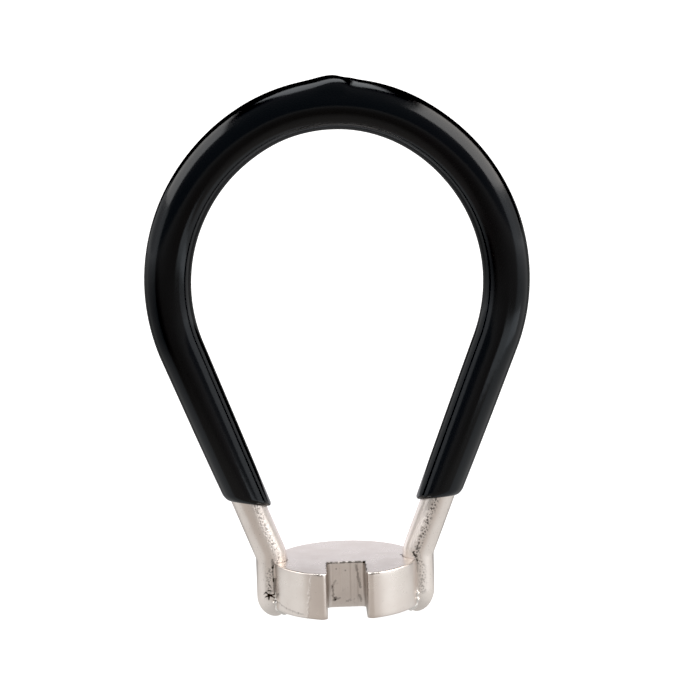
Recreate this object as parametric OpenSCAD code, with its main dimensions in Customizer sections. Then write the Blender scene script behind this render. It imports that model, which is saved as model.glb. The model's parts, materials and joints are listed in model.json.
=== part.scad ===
// Loop-handle spoke wrench: a slotted steel jaw disc, welded between the feet of a bent steel
// wire loop that is dipped in black vinyl. Lengths are in millimetres.
// The origin lies on the axis of a nipple seated in the slot, level with the disc's underside.
// +Z points up towards the loop, +X across the loop, and the slot opens towards -Y.

/* [Jaw disc] */
// Width across the flats of the square spoke nipple that the slot takes
nipple_flats = 3.96; // [3.2:0.01:4.6]
// Play of the nipple between the slot's side walls, both sides together
slot_play = 0.2; // [0.04:0.01:0.3]
// Diameter of the disc
jaw_d = 15.8; // [13:0.1:20]
// Thickness of the disc
jaw_t = 5.1; // [4:0.1:8]
// Depth of the slot, from the front of the disc's rim to the slot's back wall
slot_depth = 5.95; // [4.5:0.05:7.5]
// Radius in the slot's two back corners
slot_corner_r = 0.6; // [0.3:0.05:1.2]
// Rounding of the jaws where the slot meets the rim
mouth_r = 0.6; // [0.2:0.05:1]
// Rounding of the disc's upper and lower rim
rim_edge_r = 0.2; // [0.1:0.05:0.6]

/* [Handle wire] */
// Diameter of the steel wire
wire_d = 3.4; // [2.6:0.1:4.5]
// How deep the feet are let into the disc's sides
seat_depth = 1.6; // [0.8:0.1:2]
// How far the rounded tips of the feet stand out below the disc
tip_drop = 1.2; // [0.3:0.1:1.6]
// Height of the bend between foot and leg above the disc's top face
bend_rise = 0.55; // [0:0.05:2]
// Radius on the inside of that bend
bend_inside_r = 0.9; // [0.5:0.1:4]
// Lean of the straight legs from the upright
leg_angle = 21.3; // [17:0.1:26]
// Radius of the loop's sides, at the middle of the wire
side_r = 19.8; // [17:0.1:24]
// Radius of the loop's crown, at the middle of the wire
crown_r = 16.8; // [14:0.1:22]
// Half of the angle that the crown's radius covers
crown_half_angle = 30; // [15:1:50]

/* [Grip] */
// Bare wire between the bend and the grip's lower end, along the leg
bare_len = 6.3; // [4:0.1:14]
// Thickness of the vinyl near its lower ends
grip_end_t = 0.54; // [0.3:0.02:0.9]
// Thickness of the vinyl at the crown
grip_crown_t = 1.1; // [0.6:0.02:1.6]
// Length over which the vinyl rounds off at its lower ends
grip_lip_len = 0.7; // [0.4:0.1:2]
// Fall of the vinyl's lower edge towards the inside of the loop
grip_edge_slope = 6; // [0:1:12]
// Height of the drip nub that the dipping leaves on the crown
drip_h = 0.35; // [0:0.05:0.5]
// Half length of the drip nub along the crown
drip_half_len = 1.8; // [1.2:0.1:4]

/* [Welds] */
// Radius of the weld beads
bead_r = 0.7; // [0.4:0.05:0.9]
// Half of the angle that each bead covers round its foot
bead_half_angle = 80; // [60:1:95]

/* [Hidden] */
$fn = 96;
nickel = [0.84, 0.82, 0.8];
weld_metal = [0.72, 0.7, 0.68];
black_vinyl = [0.05, 0.05, 0.055];
// How far every cut runs past the faces that it opens
overrun = 1;
// Clearance of the wire in its seats in the disc
seat_gap = 0.03;
// Clearance of the vinyl round the wire
bore_gap = 0.03;
// How much thinner the wire draws where it is bent, on the radius
bend_thinning = 0.01;
// How far a bent stretch runs on inside the stretches that it joins
splice_len = 0.2;
// Share of the vinyl's thickness that is left at its very edge
edge_share = 0.35;
// Length over which the sloping lower edge settles into rings square to the leg
edge_settle_len = 6;
// Power by which the vinyl's build-up rises from the lower ends to the crown
build_power = 0.7;
// Sides of the vinyl's rings, rings in each rounded lip, and steps between the lips
ring_sides = 22;
lip_rings = 4;
grip_steps = 60;

slot_w = nipple_flats + slot_play;
jaw_r = jaw_d / 2;
wire_r = wire_d / 2;
// The disc's axis lies behind the nipple's, and the whole loop stands over it
jaw_y = slot_w / 2 - slot_depth + jaw_r;
jaw_front = jaw_y - jaw_r;
leg_x = jaw_r + wire_r - seat_depth;

// The loop from its feet up: foot, bend, straight leg, side arc, crown arc
bend_r = wire_r + bend_inside_r;
bend_run = bend_r * tan(leg_angle / 2);
corner_z = jaw_t + bend_rise;
foot_top_z = corner_z - bend_run;
arc_step = side_r - crown_r;
side_x = -arc_step * sin(crown_half_angle);
leg_top_x = side_x + side_r * cos(leg_angle);
leg_len = (leg_top_x - leg_x) / sin(leg_angle);
leg_top_z = corner_z + leg_len * cos(leg_angle);
side_z = leg_top_z + side_r * sin(leg_angle);
crown_z = side_z + arc_step * cos(crown_half_angle);
leg_turn = 90 + leg_angle;

// Length of an arc
function arc_len(r, angle) = PI * r * angle / 180;
// Angle that an arc's length covers
function arc_angle(r, len) = 180 * len / (PI * r);

crown_len = arc_len(crown_r, crown_half_angle);
arcs_len = crown_len + arc_len(side_r, leg_turn - crown_half_angle);
grip_half_len = arcs_len + leg_len - bare_len;

// Turn of the wire at a distance along it from the top of the crown, + to the right
function turn_at(u) = sign(u) * (
    abs(u) < crown_len ? arc_angle(crown_r, abs(u)) :
    abs(u) < arcs_len ? crown_half_angle + arc_angle(side_r, abs(u) - crown_len) :
    leg_turn);
// Place of the wire's middle, right of and below the loop's axis, at that distance
function half_place(len, turn) =
    len < crown_len ? [crown_r * sin(turn), crown_z + crown_r * cos(turn)] :
    len < arcs_len ? [side_x + side_r * sin(turn), side_z + side_r * cos(turn)] :
    [leg_top_x, leg_top_z] - (len - arcs_len) * [sin(leg_angle), cos(leg_angle)];
// The same on either side of the axis, as a point in the loop's plane
function place_at(u) = let (p = half_place(abs(u), abs(turn_at(u)))) [sign(u) * p.x, 0, p.y];

// Distance from the vinyl's nearer lower end
function from_end(u) = grip_half_len - abs(u);
// Thickness of the vinyl, which builds up from its lower ends to the crown
function build_up(u) = grip_end_t
    + (grip_crown_t - grip_end_t) * pow(max(0, from_end(u)) / grip_half_len, build_power);
// Share of that thickness which the rounded lip leaves
function lip_at(u) = from_end(u) >= grip_lip_len ? 1 :
    edge_share + (1 - edge_share) * sqrt(1 - pow(1 - from_end(u) / grip_lip_len, 2));
// Height of the drip nub on the outside of the crown
function drip_at(u, angle) = drip_h * exp(-pow(u / drip_half_len, 2)) * pow(max(0, cos(angle)), 2);
// Lean of a ring of the vinyl against the square of the leg
function ring_lean(u) = tan(leg_angle + grip_edge_slope) * max(0, 1 - from_end(u) / edge_settle_len);
// Point of a ring at radius r, with angle 0 on the outside of the loop
function ring_point(u, r, angle) = let (turn = turn_at(u), out = r * cos(angle))
    place_at(u) + [out * sin(turn), r * sin(angle), out * cos(turn)]
    - sign(u) * ring_lean(u) * out * [cos(turn), 0, -sin(turn)];

// Distances of the vinyl's rings along the wire, close together in the lips
lip_run = [for (i = [0 : lip_rings - 1]) grip_lip_len * (1 - cos(90 * i / lip_rings))];
body_half_len = grip_half_len - grip_lip_len;
ring_u = concat(
    [for (run = lip_run) run - grip_half_len],
    [for (i = [0 : grip_steps]) body_half_len * (2 * i / grip_steps - 1)],
    [for (i = [1 : lip_rings]) grip_half_len - lip_run[lip_rings - i]]);
ring_angles = [for (j = [0 : ring_sides - 1]) 360 * j / ring_sides];
// The bore's flats clear the wire
bore_r = (wire_r + bore_gap) / cos(180 / ring_sides);
ring_count = len(ring_u);

// Number of a point on the vinyl's outside (layer 0) or in its bore (layer 1)
function point_no(layer, i, j) = (layer * ring_count + i) * ring_sides + j % ring_sides;
// Two triangles on four points
function two_triangles(a, b, c, d) = [[a, b, d], [b, c, d]];

// The solid disc before its slot and seats are cut
module jaw_blank() {
    translate([0, jaw_y, 0])
        rotate_extrude() {
            square([jaw_r - rim_edge_r, jaw_t]);
            translate([0, rim_edge_r]) square([jaw_r, jaw_t - 2 * rim_edge_r]);
            for (z = [rim_edge_r, jaw_t - rim_edge_r])
                translate([jaw_r - rim_edge_r, z]) circle(rim_edge_r);
        }
}

// Outline of the slot, with rounded back corners at y = slot_w / 2
module slot_outline() {
    side_len = slot_depth + overrun - slot_corner_r;
    translate([-slot_w / 2, jaw_front - overrun]) square([slot_w, side_len]);
    translate([slot_corner_r - slot_w / 2, jaw_front - overrun])
        square([slot_w - 2 * slot_corner_r, slot_depth + overrun]);
    for (side = [-1, 1])
        translate([side * (slot_w / 2 - slot_corner_r), slot_w / 2 - slot_corner_r])
            circle(slot_corner_r);
}

// Outline of what the rounding takes off one jaw at the slot's mouth
module mouth_outline() {
    centre_x = slot_w / 2 + mouth_r;
    centre_y = jaw_y - sqrt(pow(jaw_r - mouth_r, 2) - pow(centre_x, 2));
    rim_way = [centre_x, centre_y - jaw_y] / (jaw_r - mouth_r);
    difference() {
        polygon([
            [centre_x, centre_y],
            [slot_w / 2 - overrun, centre_y],
            [slot_w / 2 - overrun, jaw_front - overrun],
            [centre_x, centre_y] + (mouth_r + overrun) * rim_way]);
        translate([centre_x, centre_y]) circle(mouth_r);
    }
}

module jaw_disc() {
    color(nickel)
        difference() {
            jaw_blank();
            translate([0, 0, -overrun])
                linear_extrude(jaw_t + 2 * overrun) {
                    slot_outline();
                    for (side = [0, 1]) mirror([side, 0]) mouth_outline();
                }
            for (side = [-1, 1])
                translate([side * leg_x, jaw_y, -overrun])
                    cylinder(r = wire_r + seat_gap, h = jaw_t + 2 * overrun);
        }
}

// The upright right foot, with its rounded tip
module foot() {
    tip_z = wire_r - tip_drop;
    translate([leg_x, jaw_y, 0])
        rotate_extrude() {
            translate([0, tip_z]) square([wire_r, foot_top_z - tip_z]);
            translate([0, tip_z])
                intersection() {
                    circle(wire_r);
                    translate([0, -wire_r]) square(wire_r);
                }
        }
}

// A stretch of wire bent to radius r round a centre in the loop's plane, from one angle on
module bent_wire(x, z, r, from, turn, thinning = bend_thinning, splice = splice_len) {
    splice_angle = arc_angle(r, splice);
    translate([x, jaw_y, z])
        rotate([90, 0, 0])
            rotate([0, 0, from - splice_angle])
                rotate_extrude(angle = turn + 2 * splice_angle)
                    translate([r, 0]) circle(wire_r - thinning);
}

// The right half of the loop below its crown
module loop_side() {
    foot();
    bent_wire(leg_x + bend_r, foot_top_z, bend_r, 180 - leg_angle, leg_angle);
    translate([leg_x + bend_run * sin(leg_angle), jaw_y, corner_z + bend_run * cos(leg_angle)])
        rotate([0, leg_angle, 0])
            cylinder(r = wire_r, h = leg_len - bend_run);
    bent_wire(side_x, side_z, side_r, -leg_angle, leg_turn - crown_half_angle);
}

module handle_wire() {
    color(nickel) {
        for (side = [0, 1]) mirror([side, 0, 0]) loop_side();
        bent_wire(0, crown_z, crown_r, 90 - crown_half_angle, 2 * crown_half_angle, 0, 0);
    }
}

module grip_coat() {
    outside = [for (u = ring_u, angle = ring_angles)
        ring_point(u, wire_r + lip_at(u) * build_up(u) + drip_at(u, angle), angle)];
    bore = [for (u = ring_u, angle = ring_angles) ring_point(u, bore_r, angle)];
    last = ring_count - 1;
    walls = [for (i = [0 : last - 1], j = [0 : ring_sides - 1])
        each concat(
            two_triangles(point_no(0, i, j), point_no(0, i, j + 1),
                point_no(0, i + 1, j + 1), point_no(0, i + 1, j)),
            two_triangles(point_no(1, i, j), point_no(1, i + 1, j),
                point_no(1, i + 1, j + 1), point_no(1, i, j + 1)))];
    edges = [for (j = [0 : ring_sides - 1])
        each concat(
            two_triangles(point_no(0, 0, j), point_no(1, 0, j),
                point_no(1, 0, j + 1), point_no(0, 0, j + 1)),
            two_triangles(point_no(0, last, j), point_no(0, last, j + 1),
                point_no(1, last, j + 1), point_no(1, last, j)))];
    color(black_vinyl)
        translate([0, jaw_y, 0])
            polyhedron(concat(outside, bore), concat(walls, edges), convexity = 10);
}

// The bead between the right foot and the disc's lower edge
module weld_bead() {
    difference() {
        translate([leg_x, jaw_y, 0])
            rotate([0, 0, 180 - bead_half_angle])
                rotate_extrude(angle = 2 * bead_half_angle)
                    translate([wire_r, 0]) circle(bead_r);
        jaw_blank();
        foot();
    }
}

module left_weld() {
    color(weld_metal) mirror([1, 0, 0]) weld_bead();
}

module right_weld() {
    color(weld_metal) weld_bead();
}

jaw_disc();
handle_wire();
grip_coat();
left_weld();
right_weld();
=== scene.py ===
"""Looks of a loop-handle spoke wrench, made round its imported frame.

A slotted, nickel-plated jaw disc is welded between the feet of a bent wire loop, and the loop is
dipped in glossy black vinyl. Lengths are in metres, and angles in degrees unless a name says radians.
"""

import json
import logging
import math
from dataclasses import dataclass, field
from enum import Enum
from typing import Any

import bpy
import numpy as np
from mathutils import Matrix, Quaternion, Vector
from mathutils.geometry import delaunay_2d_cdt


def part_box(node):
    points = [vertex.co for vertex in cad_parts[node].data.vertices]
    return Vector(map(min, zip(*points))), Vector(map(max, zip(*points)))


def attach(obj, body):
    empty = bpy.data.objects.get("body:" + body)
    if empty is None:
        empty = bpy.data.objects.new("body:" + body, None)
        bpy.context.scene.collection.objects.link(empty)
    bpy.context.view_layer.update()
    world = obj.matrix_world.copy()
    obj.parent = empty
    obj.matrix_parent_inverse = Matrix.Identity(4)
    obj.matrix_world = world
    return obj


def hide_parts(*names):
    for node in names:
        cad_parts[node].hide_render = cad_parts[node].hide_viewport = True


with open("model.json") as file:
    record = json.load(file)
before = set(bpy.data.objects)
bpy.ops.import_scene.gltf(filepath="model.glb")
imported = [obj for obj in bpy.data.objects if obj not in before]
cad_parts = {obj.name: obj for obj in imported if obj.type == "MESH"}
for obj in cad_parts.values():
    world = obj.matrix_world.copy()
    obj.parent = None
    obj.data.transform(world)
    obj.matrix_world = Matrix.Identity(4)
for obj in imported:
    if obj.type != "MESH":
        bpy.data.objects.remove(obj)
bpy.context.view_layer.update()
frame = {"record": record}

MM = 0.001
BODY = "root"
FULL_TURN = 2 * math.pi
QUARTER_TURN = math.pi / 2
GOLDEN_ANGLE = 2.39996
NOISE_MIDDLE = 0.5
BELL_POWER = 2.0
FRONT = np.array([[0.0, -1.0, 0.0]])
INSIDE_ONLY = 1
MERGE_GAP = 1e-6
log = logging.getLogger("spoke_wrench")

Colour = tuple[float, float, float]
Place = tuple[float, float, float]
Span = tuple[float, float]
Rows = tuple[tuple[float, ...], ...]
Inputs = dict[Any, Any]

BLACK: Colour = (0.0, 0.0, 0.0)


class Slot(Enum):
    """The record's material slots."""

    NICKEL = "nickel_plate"
    WELD = "weld_metal"
    VINYL = "black_vinyl"


class Side(Enum):
    """The two halves of the loop, by the sign of their X."""

    LEFT = -1
    RIGHT = 1


class Detail(Enum):
    """How many finer layers a noise has."""

    SMOOTH = 0.0
    SIMPLE = 1.0
    CLOUDY = 2.0
    RAGGED = 3.0
    CRUSTED = 4.0


# Shader graphs


class Signal:
    """A shader socket that Python sums work on: each operator adds one Math node."""

    def __init__(self, graph: "ShaderGraph", socket: Any) -> None:
        """Keeps the socket and the graph that holds it."""
        self.graph = graph
        self.socket = socket

    def __add__(self, other: Any) -> "Signal":
        """Returns the sum."""
        return self.graph.maths("ADD", self, other)

    def __sub__(self, other: Any) -> "Signal":
        """Returns the difference."""
        return self.graph.maths("SUBTRACT", self, other)

    def __rsub__(self, other: Any) -> "Signal":
        """Returns the difference, with this socket taken away."""
        return self.graph.maths("SUBTRACT", other, self)

    def __mul__(self, other: Any) -> "Signal":
        """Returns the product."""
        return self.graph.maths("MULTIPLY", self, other)

    def __truediv__(self, other: Any) -> "Signal":
        """Returns the quotient."""
        return self.graph.maths("DIVIDE", self, other)

    def __abs__(self) -> "Signal":
        """Returns the size without its sign."""
        return self.graph.maths("ABSOLUTE", self, 0.0)

    __radd__ = __add__
    __rmul__ = __mul__


class ShaderGraph:
    """The node tree of one material or of the world."""

    def __init__(self, owner: bpy.types.ID) -> None:
        """Empties the owner's node tree.

        Args:
            owner: The material or world to work on.
        """
        owner.use_nodes = True
        self.tree = owner.node_tree
        self.tree.nodes.clear()

    def node(self, kind: str, settings: Inputs | None = None, inputs: Inputs | None = None,
             output: Any = 0) -> Signal:
        """Adds one node.

        Args:
            kind: Blender's type name of the node.
            settings: The node's own settings, which are set before anything is linked.
            inputs: Values or sockets for its inputs, by name or number.
            output: Name or number of the output to hand back.

        Returns:
            That output, or a signal without a socket where the node has no outputs.
        """
        made = self.tree.nodes.new(kind)
        for name, value in (settings or {}).items():
            setattr(made, name, value)
        for key, value in (inputs or {}).items():
            if isinstance(value, Signal):
                self.tree.links.new(value.socket, made.inputs[key])
            else:
                made.inputs[key].default_value = value
        return Signal(self, made.outputs[output] if len(made.outputs) else None)

    def place(self) -> Signal:
        """Returns the point's place in the part's own frame."""
        return self.node("ShaderNodeTexCoord", output="Object")

    def parts(self, vector: Signal) -> list[Signal]:
        """Returns a vector's X, Y and Z."""
        split = self.node("ShaderNodeSeparateXYZ", inputs={0: vector})
        return [Signal(self, socket) for socket in split.socket.node.outputs]

    def maths(self, operation: str, first: Any, second: Any) -> Signal:
        """Returns the result of one Math node on two values or sockets."""
        return self.node("ShaderNodeMath", {"operation": operation}, {0: first, 1: second})

    def vector(self, operation: str, first: Any, second: Any, output: Any = 0) -> Signal:
        """Returns the result of one Vector Math node on two vectors."""
        return self.node("ShaderNodeVectorMath", {"operation": operation}, {0: first, 1: second}, output)

    def stretch(self, vector: Signal, scale: Place) -> Signal:
        """Returns a vector with each of its parts scaled."""
        return self.vector("MULTIPLY", vector, scale)

    def distance(self, vector: Signal, centre: Any) -> Signal:
        """Returns how far a point is from a place."""
        return self.vector("DISTANCE", vector, centre, "Value")

    def noise(self, vector: Signal, size: float, detail: Detail = Detail.CLOUDY,
              layers: float = 0.5) -> Signal:
        """Adds cloudy noise.

        Args:
            vector: Where the noise is read.
            size: Size of its features, in the vector's unit.
            detail: How many finer layers it has.
            layers: How strong those layers are.

        Returns:
            A value about one half.
        """
        sizes = {"Vector": vector, "Scale": 1 / size, "Detail": detail.value, "Roughness": layers}
        return self.node("ShaderNodeTexNoise", {"noise_dimensions": "3D"}, sizes)

    def wander(self, vector: Signal, size: float, reach: float, layers: float = 0.5) -> Signal:
        """Returns ragged noise about zero, up to half the reach each way."""
        return (self.noise(vector, size, Detail.RAGGED, layers) - NOISE_MIDDLE) * reach

    def dots(self, vector: Signal, size: float) -> Signal:
        """Returns the distance to the nearest of many scattered points, as a share of their spacing."""
        spots = {"Vector": vector, "Scale": 1 / size}
        return self.node("ShaderNodeTexVoronoi", {"feature": "F1"}, spots, "Distance")

    def ramp(self, value: Signal, low: float, high: float, start: Any = 0.0, end: Any = 1.0) -> Signal:
        """Returns a smooth step from start to end while the value goes from low to high."""
        limits = {"Value": value, 1: low, 2: high, 3: start, 4: end}
        return self.node("ShaderNodeMapRange", {"interpolation_type": "SMOOTHSTEP"}, limits)

    def blend(self, factor: Any, first: Any, second: Any) -> Signal:
        """Returns a colour between two colours."""
        return self.node("ShaderNodeMix", {"data_type": "RGBA"}, {0: factor, 6: first, 7: second}, 2)

    def bump(self, height: Signal, distance: float) -> Signal:
        """Returns normals that follow a height of 0 to 1, which stands for the given distance."""
        return self.node("ShaderNodeBump", inputs={"Height": height, "Distance": distance, "Strength": 1.0})

    def surface(self, shader: Signal) -> None:
        """Shows a shader as the material's surface."""
        self.node("ShaderNodeOutputMaterial", inputs={"Surface": shader})


def rgba(colour: Colour) -> tuple[float, float, float, float]:
    """Returns an opaque colour with its fourth number."""
    return (*colour, 1.0)


# Finishes


@dataclass
class Marks:
    """What one piece's own wear and painted shade add to a plating: each is a socket or a plain number."""

    dark: Any = 0.0
    rough: Any = 0.0
    height: Any = 0.0


def mm(x: float, y: float, z: float) -> Place:
    """Returns a place given in millimetres."""
    return (x * MM, y * MM, z * MM)


@dataclass(frozen=True)
class Stroke:
    """One mark with a frayed edge, between two places or at one place: a crack, a stain or painted shade.
    """

    start: Place
    end: Place | None = None
    radius: float = 0.1 * MM
    shade: float = 1.0
    taper: float = 0.0
    fray: float = 0.3 * MM
    core_share: float = 0.2

    def mask(self, graph: ShaderGraph, place: Signal, fray: Signal) -> Signal:
        """Makes the mark from the distance to the nearest point of the line between its places.

        Args:
            graph: The graph that holds it.
            place: The point's place.
            fray: Noise about zero that frays the edge.

        Returns:
            The mark's shade, which falls to nothing at its edge.
        """
        if self.end is None:
            away = graph.distance(place, self.start)
        else:
            way = Vector(self.end) - Vector(self.start)
            reach = graph.vector("SUBTRACT", place, self.start)
            along = graph.vector("DOT_PRODUCT", reach, way / way.length_squared, output="Value")
            share = graph.node("ShaderNodeClamp", inputs={"Value": along})
            nearest = graph.node("ShaderNodeVectorMath", {"operation": "SCALE"}, {0: way, "Scale": share})
            away = graph.distance(reach, nearest) + share * (self.taper * self.radius)
        core = self.core_share * self.radius
        return graph.ramp(away + fray * self.fray, core, self.radius, self.shade, 0.0)


@dataclass(frozen=True)
class NickelPlate:
    """Satin nickel over steel: faintly mottled, finely grained and sparsely pitted."""

    name: str = "nickel_plate"
    tone: Colour = (0.81, 0.755, 0.715)
    stain: Colour = (0.75, 0.685, 0.645)
    dark: Colour = (0.03, 0.025, 0.02)
    roughness: float = 0.27
    roughness_spread: float = 0.05
    mottle_size: float = 2.2 * MM
    mottle_edge: Span = (0.35, 0.7)
    mottle_share: float = 0.6
    grain_size: float = 0.14 * MM
    grain_depth: float = 0.003 * MM
    pit_size: float = 0.3 * MM
    pit_edge: Span = (0.7, 0.76)
    pit_shade: float = 0.1
    pit_depth: float = 0.6
    fray_size: float = 0.22 * MM
    strokes: tuple[Stroke, ...] = ()

    def all_strokes(self) -> list[Stroke]:
        """Returns every dark mark of the piece."""
        return list(self.strokes)

    def marks(self, graph: ShaderGraph, place: Signal) -> Marks:
        """Returns the piece's own wear and painted shade, which for plain plating are its dark marks."""
        fray = graph.noise(place, self.fray_size) - NOISE_MIDDLE
        return Marks(dark=sum((stroke.mask(graph, place, fray) for stroke in self.all_strokes()), 0.0))

    def material(self) -> bpy.types.Material:
        """Mixes the plating from cloudy noise and the piece's own marks.

        Returns:
            A metal whose tone, gloss and height vary.
        """
        made = bpy.data.materials.new(self.name)
        graph = ShaderGraph(made)
        place = graph.place()
        marks = self.marks(graph, place)
        mottle = graph.ramp(graph.noise(place, self.mottle_size, Detail.CRUSTED), *self.mottle_edge)
        grain = graph.noise(place, self.grain_size, Detail.SMOOTH)
        pits = graph.ramp(graph.noise(place, self.pit_size, Detail.SIMPLE), *self.pit_edge)
        plate = graph.blend(mottle * self.mottle_share, rgba(self.tone), rgba(self.stain))
        colour = graph.blend(pits * self.pit_shade + marks.dark, plate, rgba(self.dark))
        rough = self.roughness + mottle * self.roughness_spread + marks.rough
        height = grain - pits * self.pit_depth + marks.height
        graph.surface(graph.node("ShaderNodeBsdfPrincipled", inputs={
            "Base Color": colour,
            "Metallic": 1.0,
            "Roughness": rough,
            "Normal": graph.bump(height, self.grain_depth),
        }))
        return made


@dataclass(frozen=True, kw_only=True)
class JawPlate(NickelPlate):
    """The plating of the jaw disc, over a broached slot with ragged edges that painted shade darkens.

    A wall line is X, Z, its end's X and Z, radius, shade and fray, and a wall spot is X, Z, radius and
    shade, all on the slot's back wall. Their lengths, and the weld line's X and Z, are in millimetres.
    """

    axis_y: float
    jaw_r: float
    top_z: float
    slot_half_w: float
    slot_back_y: float
    name: str = "jaw_plate"
    grain_depth: float = 0.002 * MM
    wall_margin: float = 0.05 * MM
    wall_rough: float = 0.1
    corner_w: float = 0.35 * MM
    corner_shade: float = 0.3
    brim_size: float = 0.45 * MM
    brim_layers: float = 0.6
    brim_fray: float = 0.9 * MM
    brim_w: float = 0.13 * MM
    brim_reach: float = 3.4 * MM
    brim_shade: float = 0.75
    blotch_size: float = 0.7 * MM
    blotch_layers: float = 0.65
    blotch_edge: Span = (0.6, 0.68)
    blotch_shade: float = 0.1
    blotch_height: float = -3.0
    streak_size: float = 0.35 * MM
    streak_stretch: Place = (1.0, 1.0, 0.08)
    streak_height: float = 3.0
    seam_x: float = -4.4 * MM
    seam_lean: float = 0.09
    seam_w: float = 0.2 * MM
    seam_size: float = 0.6 * MM
    seam_fray: float = 0.9 * MM
    seam_height: float = 12.0
    seam_break: Span = (0.38, 0.5)
    # The weld line is painted shade: a dark line along the rim's lower part, above the left weld.
    weld_line: Rows = (
        (-7.5, 1.05), (-7.1, 0.85), (-6.6, 0.7), (-6.0, 0.57), (-5.4, 0.48), (-4.9, 0.44))
    weld_line_r: float = 0.16 * MM
    weld_line_shade: float = 0.22
    wall_lines: Rows = (
        (-1.15, 3.0, -1.5, 2.35, 0.15, 0.3, 0.4),
        (-1.5, 2.35, -1.42, 1.2, 0.17, 0.45, 0.4),
        (-1.32, 0.85, -1.2, 1.05, 0.24, 0.6, 0.3),
        (-1.2, 0.85, -0.75, 1.05, 0.14, 0.35, 0.3),
        (1.08, 4.7, 1.55, 2.15, 0.19, 0.4, 0.4),
        (1.42, 1.3, 1.58, 0.6, 0.18, 0.4, 0.4),
        (0.0, 0.65, 0.85, 0.9, 0.12, 0.25, 0.5))
    wall_spots: Rows = ((-1.0, 4.3, 0.16, 0.45), (-0.05, 4.1, 0.14, 0.45))
    # The two spots are painted shade in the gaps where the wires meet the disc's top, and the line is
    # painted shade in the slot's right corner.
    strokes: tuple[Stroke, ...] = (
        Stroke(mm(6.2, 4.3, 5.1), radius=0.32 * MM),
        Stroke(mm(-6.3, 3.75, 5.1), radius=0.3 * MM, shade=0.4),
        Stroke(mm(1.85, 1.9, 5.0), mm(2.08, 1.2, 2.9), radius=0.2 * MM, shade=0.5, taper=0.6))

    def on_rim(self, x: float, z: float) -> Place:
        """Returns the place on the front of the rim at an X and a Z in millimetres."""
        return (x * MM, self.axis_y - math.sqrt(self.jaw_r ** 2 - (x * MM) ** 2), z * MM)

    def on_wall(self, x: float, z: float) -> Place:
        """Returns the place on the slot's back wall at an X and a Z in millimetres."""
        return (x * MM, self.slot_back_y, z * MM)

    def all_strokes(self) -> list[Stroke]:
        """Gathers the dark marks.

        Returns:
            The plain ones, which are painted shade in the gaps by the feet and in the slot's right corner,
            those on the slot's back wall, and the soft line of painted shade over the left weld.
        """
        lines = [
            Stroke(self.on_wall(x, z), self.on_wall(end_x, end_z), radius * MM, shade, fray=fray * MM)
            for x, z, end_x, end_z, radius, shade, fray in self.wall_lines]
        spots = [
            Stroke(self.on_wall(x, z), radius=radius * MM, shade=shade)
            for x, z, radius, shade in self.wall_spots]
        rim = [self.on_rim(x, z) for x, z in self.weld_line]
        weld = [
            Stroke(start, end, self.weld_line_r, self.weld_line_shade)
            for start, end in zip(rim, rim[1:])]
        return super().all_strokes() + lines + spots + weld

    def marks(self, graph: ShaderGraph, place: Signal) -> Marks:
        """Adds the slot's wear, and painted shade in its corners and along its brim, to the dark marks.

        Args:
            graph: The graph that holds it.
            place: The point's place.

        Returns:
            Streaked walls, painted shade in the corners, a ragged brim darkened by painted shade, and a
            seam beside the slot.
        """
        x, y, z = graph.parts(place)
        past = graph.maths("MAXIMUM", abs(x) - self.slot_half_w, y - self.slot_back_y)
        wall = graph.ramp(past, self.wall_margin, 2 * self.wall_margin, 1.0, 0.0)
        level = graph.stretch(place, (1.0, 1.0, 0.0))
        inside = self.jaw_r - graph.distance(level, (0.0, self.axis_y, 0.0))
        front = graph.maths("MAXIMUM", inside, abs(x) - self.brim_reach)
        ragged = graph.wander(place, self.brim_size, self.brim_fray, self.brim_layers)
        high = graph.ramp(z, self.top_z - 2 * self.brim_w, self.top_z - self.brim_w)
        # Painted shade darkens the ragged brim along the slot's top edge.
        brim = graph.ramp(graph.maths("MINIMUM", past, front) + ragged, 0.0, self.brim_w, 1.0, 0.0) * high
        # Painted shade in the slot's corners.
        corner = graph.ramp(abs(x), self.slot_half_w - self.corner_w, self.slot_half_w)
        streak = graph.noise(graph.stretch(place, self.streak_stretch), self.streak_size)
        blotch = graph.noise(place, self.blotch_size, Detail.CRUSTED, self.blotch_layers)
        blotch = graph.ramp(blotch, *self.blotch_edge)
        off_seam = x - self.seam_x - z * self.seam_lean
        off_seam = abs(off_seam + graph.wander(place, self.seam_size, self.seam_fray))
        seam = graph.ramp(off_seam, 0.0, self.seam_w, 1.0, 0.0) * (1 - high)
        seam = seam * graph.ramp(graph.noise(place, self.fray_size), *self.seam_break)
        # The blotches are stains, and the corners add painted shade.
        stain = wall * (corner * self.corner_shade + blotch * self.blotch_shade)
        dark = super().marks(graph, place).dark + stain + brim * self.brim_shade
        rutted = wall * (streak * self.streak_height + blotch * self.blotch_height)
        return Marks(dark=dark, rough=wall * self.wall_rough, height=rutted + seam * self.seam_height)


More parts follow.
